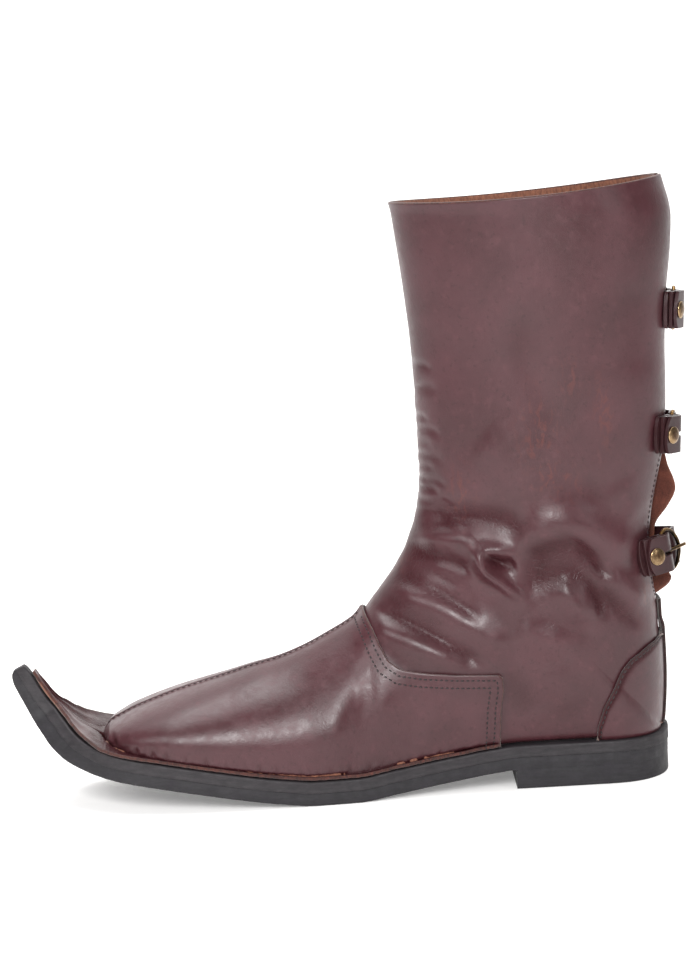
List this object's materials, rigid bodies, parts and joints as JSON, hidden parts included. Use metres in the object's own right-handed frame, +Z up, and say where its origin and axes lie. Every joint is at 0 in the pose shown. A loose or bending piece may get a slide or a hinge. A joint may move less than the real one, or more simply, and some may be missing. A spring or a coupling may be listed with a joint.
{
  "type": "curled toe boot",
  "caption": "Mid-calf leather boot with a low heel, a curled pointed toe, a suede gusset behind its slit back and buckled straps across the slit.",
  "frame": {"origin": "middle of the heel's flat bottom", "axes": "+X from toe to heel along the length, +Y to the wearer's inner side, +Z up"},
  "size_m": [0.3453, 0.101, 0.298],
  "materials": {
    "sole": "matt charcoal",
    "midsole": "matt grey, cut edge",
    "lining": "undyed, matt",
    "upper_leather": "semi-gloss dark brown",
    "strap_leather": "semi-gloss darker brown",
    "gusset_suede": "rust-coloured suede",
    "brass_fittings": "antique, dark in its hollows"
  },
  "bodies": {
    "root": {"outsole": "sole", "heel": "sole", "midsole": "midsole", "insole": "lining", "upper": "upper_leather", "vamp": "upper_leather", "counter": "upper_leather", "backstay": "strap_leather", "gusset": "gusset_suede", "chape_1": "strap_leather", "chape_2": "strap_leather", "chape_3": "strap_leather", "billet_1": "strap_leather", "billet_2": "strap_leather", "billet_3": "strap_leather", "buckle_1": "brass_fittings", "buckle_2": "brass_fittings", "buckle_3": "brass_fittings", "prong_1": "brass_fittings", "prong_2": "brass_fittings", "prong_3": "brass_fittings", "rivet_1": "brass_fittings", "rivet_2": "brass_fittings", "rivet_3": "brass_fittings", "far_rivet_1": "brass_fittings", "far_rivet_2": "brass_fittings", "far_rivet_3": "brass_fittings"}
  },
  "joints": []
}
